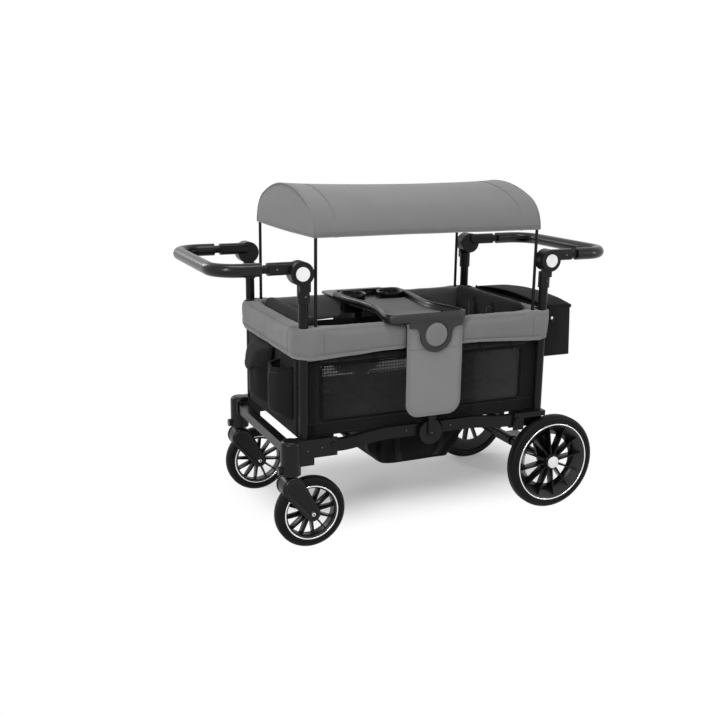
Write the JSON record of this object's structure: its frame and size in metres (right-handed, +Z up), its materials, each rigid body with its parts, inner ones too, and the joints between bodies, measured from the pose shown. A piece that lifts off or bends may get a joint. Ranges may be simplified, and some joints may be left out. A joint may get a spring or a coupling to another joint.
{
  "type": "stroller wagon",
  "caption": "Folding stroller wagon with a padded cloth tub, facing seats, canopy on hoops, snack tray, push handles at both ends, swivel castors and large rear wheels.",
  "frame": {"origin": "on the floor under the middle of the wagon's outline", "axes": "+X to the rear, where the large wheels are, +Y to the right-hand side, +Z up"},
  "size_m": [1.406, 0.6238, 1.1017],
  "materials": {
    "frame_paint": "black satin powder coat",
    "bright_steel": "zinc plated",
    "hard_plastic": "black moulded, fine grain",
    "rod_black": "black coated rod",
    "grey_cloth": "mid grey woven cloth",
    "black_cloth": "black woven cloth and mesh",
    "seat_cloth": "charcoal woven cloth",
    "tyre": "black foam-filled rubber",
    "wheel_plastic": "black moulded with bright ring",
    "grip": "smooth black grip",
    "white_plastic": "white moulded",
    "grey_plastic": "grey moulded"
  },
  "bodies": {
    "rear_frame": {"rear_end_frame": "frame_paint", "rear_brackets": "frame_paint", "rear_axle": "bright_steel", "rear_hub_bases": "hard_plastic", "rear_canopy_hoop": "rod_black", "rear_rim_pad": "grey_cloth", "rear_end_wall": "black_cloth", "rear_bag": "black_cloth", "rear_hinge_pins": "bright_steel", "canopy": "grey_cloth", "rear_seat": "seat_cloth"},
    "front_frame": {"front_end_frame": "frame_paint", "front_crossbar": "frame_paint", "castor_housings": "hard_plastic", "front_hub_bases": "hard_plastic", "front_canopy_hoop": "rod_black", "front_rim_pad": "grey_cloth", "front_end_wall": "black_cloth", "front_hinge_pins": "bright_steel", "front_seat": "seat_cloth"},
    "rear_floor": {"rear_floor_frame": "frame_paint"},
    "front_floor": {"front_floor_frame": "frame_paint"},
    "rear_top_rails": {"rear_side_rails": "frame_paint", "rear_side_pads": "grey_cloth", "rear_side_walls": "black_cloth"},
    "front_top_rails": {"front_side_rails": "frame_paint", "front_side_pads": "grey_cloth", "front_side_walls": "black_cloth"},
    "centre": {"centre_posts": "frame_paint", "centre_hubs": "hard_plastic", "centre_hinge_pins": "bright_steel", "hinge_flaps": "grey_cloth", "basket": "black_cloth"},
    "rear_wheel_l": {"rear_tyre_left": "tyre", "rear_wheel_left": "wheel_plastic"},
    "rear_wheel_r": {"rear_tyre_right": "tyre", "rear_wheel_right": "wheel_plastic"},
    "castor_l": {"castor_fork_left": "hard_plastic"},
    "castor_r": {"castor_fork_right": "hard_plastic"},
    "front_wheel_l": {"front_tyre_left": "tyre", "front_wheel_left": "wheel_plastic"},
    "front_wheel_r": {"front_tyre_right": "tyre", "front_wheel_right": "wheel_plastic"},
    "swivel_lock_l": {"castor_lock_left": "hard_plastic"},
    "swivel_lock_r": {"castor_lock_right": "hard_plastic"},
    "front_handle": {"front_handle_arms": "hard_plastic", "front_handle_bar": "frame_paint", "front_handle_grip": "grip"},
    "rear_handle": {"rear_handle_arms": "hard_plastic", "rear_handle_bar": "frame_paint", "rear_handle_grip": "grip"},
    "front_hub_button_l": {"front_button_left": "white_plastic"},
    "front_hub_button_r": {"front_button_right": "white_plastic"},
    "rear_hub_button_l": {"rear_button_left": "white_plastic"},
    "rear_hub_button_r": {"rear_button_right": "white_plastic"},
    "snack_tray": {"tray": "hard_plastic", "tray_mat": "grey_plastic"},
    "tray_release_l": {"tray_button_left": "grey_plastic"},
    "tray_release_r": {"tray_button_right": "grey_plastic"},
    "brake": {"brake_pedal": "hard_plastic"}
  },
  "joints": [
    {"name": "fold", "type": "hinge", "parent": "rear_frame", "child": "rear_floor", "pos_m": [0.333, 0, 0.328], "axis": [0, 1, 0], "range_deg": [0, 65], "deforming": ["canopy", "rear_side_walls", "front_side_walls", "basket", "rear_seat", "front_seat"]},
    {"name": "fold_centre", "type": "hinge", "parent": "rear_floor", "child": "centre", "pos_m": [0, 0, 0.328], "axis": [0, 1, 0], "range_deg": [-65, 0]},
    {"name": "fold_front_floor", "type": "hinge", "parent": "centre", "child": "front_floor", "pos_m": [0, 0, 0.328], "axis": [0, 1, 0], "range_deg": [-65, 0]},
    {"name": "fold_front_end", "type": "hinge", "parent": "front_floor", "child": "front_frame", "pos_m": [-0.333, 0, 0.328], "axis": [0, 1, 0], "range_deg": [0, 65]},
    {"name": "fold_rear_top", "type": "hinge", "parent": "rear_frame", "child": "rear_top_rails", "pos_m": [0.333, 0, 0.651], "axis": [0, 1, 0], "range_deg": [0, 65]},
    {"name": "fold_front_top", "type": "hinge", "parent": "front_frame", "child": "front_top_rails", "pos_m": [-0.333, 0, 0.651], "axis": [0, 1, 0], "range_deg": [-65, 0]},
    {"name": "rear_spin_left", "type": "hinge", "parent": "rear_frame", "child": "rear_wheel_l", "pos_m": [0.476, -0.276, 0.164], "axis": [0, 1, 0], "continuous": true},
    {"name": "rear_spin_right", "type": "hinge", "parent": "rear_frame", "child": "rear_wheel_r", "pos_m": [0.476, 0.276, 0.164], "axis": [0, 1, 0], "continuous": true},
    {"name": "castor_swivel_left", "type": "hinge", "parent": "front_frame", "child": "castor_l", "pos_m": [-0.467, -0.262, 0.243], "axis": [0, 0, 1], "continuous": true},
    {"name": "castor_swivel_right", "type": "hinge", "parent": "front_frame", "child": "castor_r", "pos_m": [-0.467, 0.262, 0.243], "axis": [0, 0, 1], "continuous": true},
    {"name": "front_spin_left", "type": "hinge", "parent": "castor_l", "child": "front_wheel_l", "pos_m": [-0.405, -0.262, 0.114], "axis": [0, 1, 0], "continuous": true},
    {"name": "front_spin_right", "type": "hinge", "parent": "castor_r", "child": "front_wheel_r", "pos_m": [-0.405, 0.262, 0.114], "axis": [0, 1, 0], "continuous": true},
    {"name": "swivel_lock_push_left", "type": "slide", "parent": "front_frame", "child": "swivel_lock_l", "axis": [1, 0, 0], "range_m": [0, 0.004], "stiffness_N_per_m": 400},
    {"name": "swivel_lock_push_right", "type": "slide", "parent": "front_frame", "child": "swivel_lock_r", "axis": [1, 0, 0], "range_m": [0, 0.004], "stiffness_N_per_m": 400},
    {"name": "front_handle_tilt", "type": "hinge", "parent": "front_frame", "child": "front_handle", "pos_m": [-0.433, 0, 0.858], "axis": [0, 1, 0], "range_deg": [-25, 90]},
    {"name": "rear_handle_tilt", "type": "hinge", "parent": "rear_frame", "child": "rear_handle", "pos_m": [0.433, 0, 0.858], "axis": [0, 1, 0], "range_deg": [-90, 25]},
    {"name": "front_button_push_left", "type": "slide", "parent": "front_frame", "child": "front_hub_button_l", "axis": [0, 1, 0], "range_m": [0, 0.004], "stiffness_N_per_m": 400},
    {"name": "front_button_push_right", "type": "slide", "parent": "front_frame", "child": "front_hub_button_r", "axis": [0, -1, 0], "range_m": [0, 0.004], "stiffness_N_per_m": 400},
    {"name": "rear_button_push_left", "type": "slide", "parent": "rear_frame", "child": "rear_hub_button_l", "axis": [0, 1, 0], "range_m": [0, 0.004], "stiffness_N_per_m": 400},
    {"name": "rear_button_push_right", "type": "slide", "parent": "rear_frame", "child": "rear_hub_button_r", "axis": [0, -1, 0], "range_m": [0, 0.004], "stiffness_N_per_m": 400},
    {"name": "tray_lift", "type": "slide", "parent": "centre", "child": "snack_tray", "axis": [0, 0, 1], "range_m": [0, 0.15]},
    {"name": "tray_release_push_left", "type": "slide", "parent": "snack_tray", "child": "tray_release_l", "axis": [0, 1, 0], "range_m": [0, 0.003], "stiffness_N_per_m": 400},
    {"name": "tray_release_push_right", "type": "slide", "parent": "snack_tray", "child": "tray_release_r", "axis": [0, -1, 0], "range_m": [0, 0.003], "stiffness_N_per_m": 400},
    {"name": "brake_pedal_press", "type": "hinge", "parent": "rear_frame", "child": "brake", "pos_m": [0.476, 0, 0.164], "axis": [0, 1, 0], "range_deg": [0, 25]}
  ],
  "couplings": [
    {"joint": "fold_centre", "follows": "fold", "ratio": -1},
    {"joint": "fold_front_floor", "follows": "fold", "ratio": -1},
    {"joint": "fold_front_end", "follows": "fold", "ratio": 1},
    {"joint": "fold_rear_top", "follows": "fold", "ratio": 1},
    {"joint": "fold_front_top", "follows": "fold", "ratio": -1}
  ]
}
